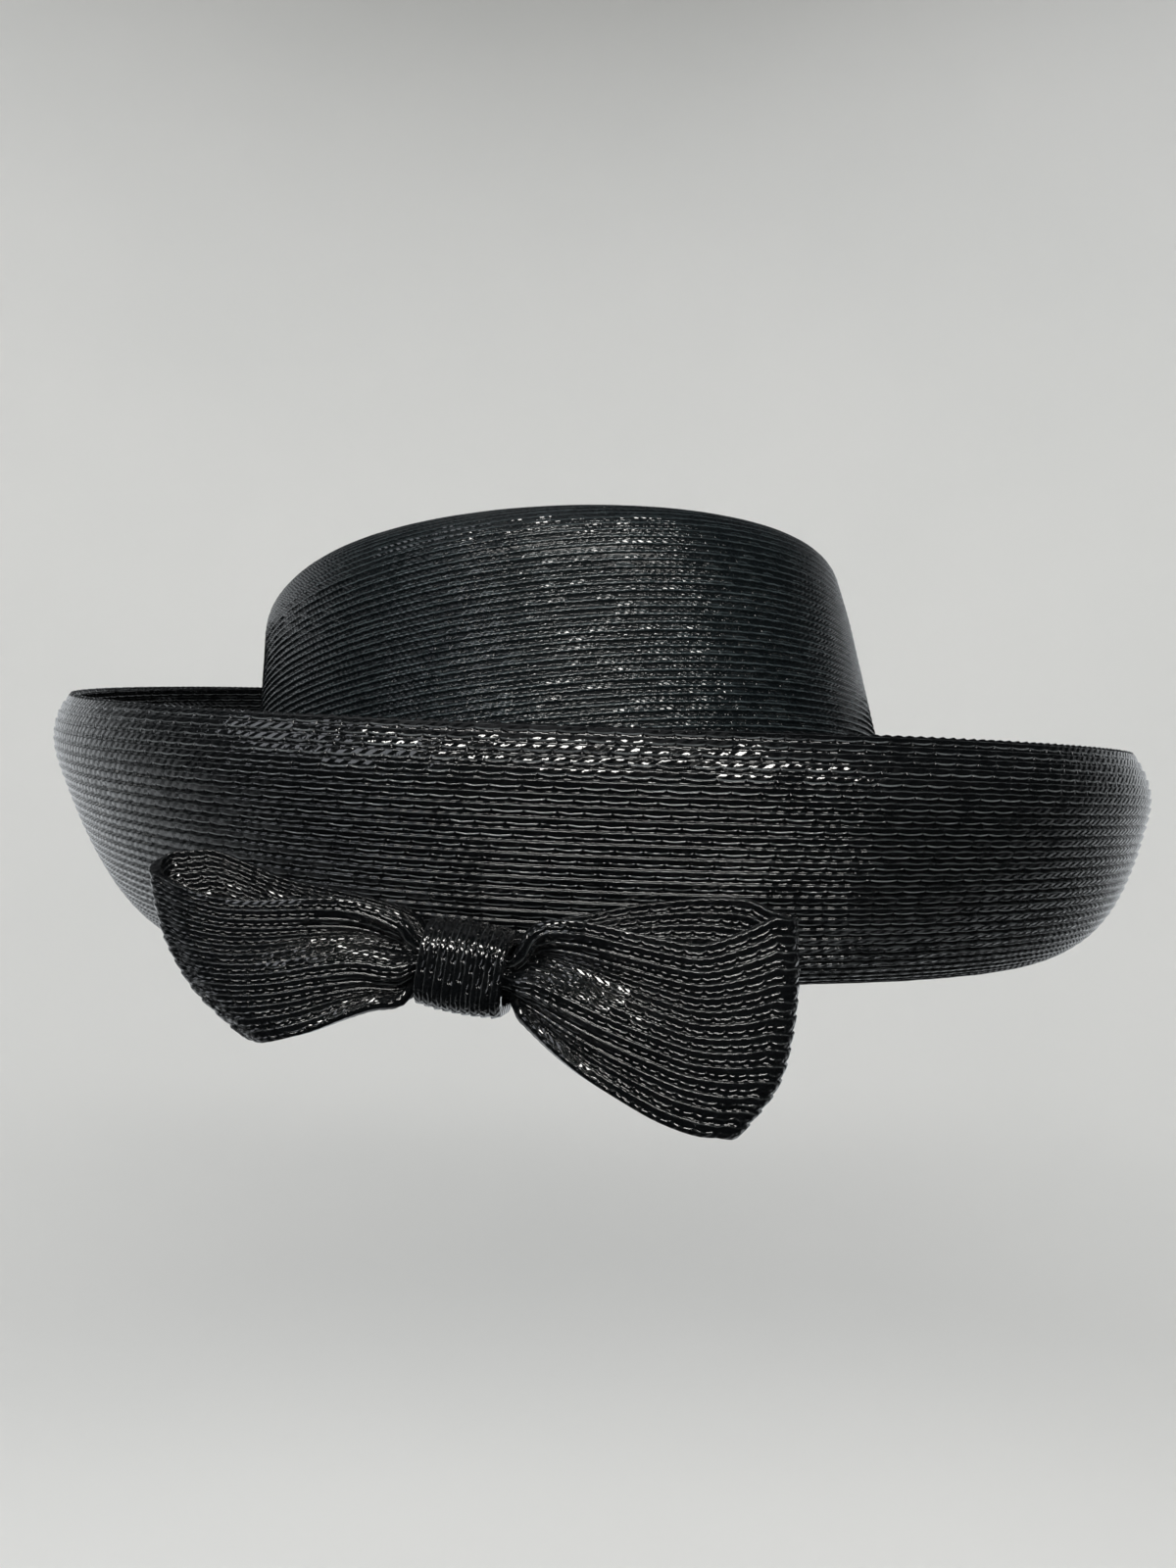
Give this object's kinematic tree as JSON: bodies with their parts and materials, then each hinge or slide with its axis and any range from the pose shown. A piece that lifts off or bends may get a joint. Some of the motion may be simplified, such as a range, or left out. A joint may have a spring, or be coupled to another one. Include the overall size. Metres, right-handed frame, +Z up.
{
  "type": "sewn straw hat with upturned brim and bow",
  "caption": "Black lacquered straw braid hat: rounded crown open below for the head, deep upturned brim with a curled edge, straw bow low on the front.",
  "frame": {"origin": "centre of the head opening, in the plane of the crown's foot", "axes": "+Z up through the crown, -Y towards the front where the bow is, +X to the right seen from the front, which is the wearer's left"},
  "size_m": [0.2763, 0.2745, 0.1237],
  "materials": {
    "crown_straw": "black lacquered straw braid, satin gloss",
    "brim_straw": "black lacquered straw braid, high gloss",
    "bow_straw": "black lacquered straw braid, high gloss"
  },
  "bodies": {
    "root": {"crown": "crown_straw", "brim": "brim_straw", "bow_loop_left": "bow_straw", "bow_loop_right": "bow_straw", "bow_knot": "bow_straw"}
  },
  "joints": []
}
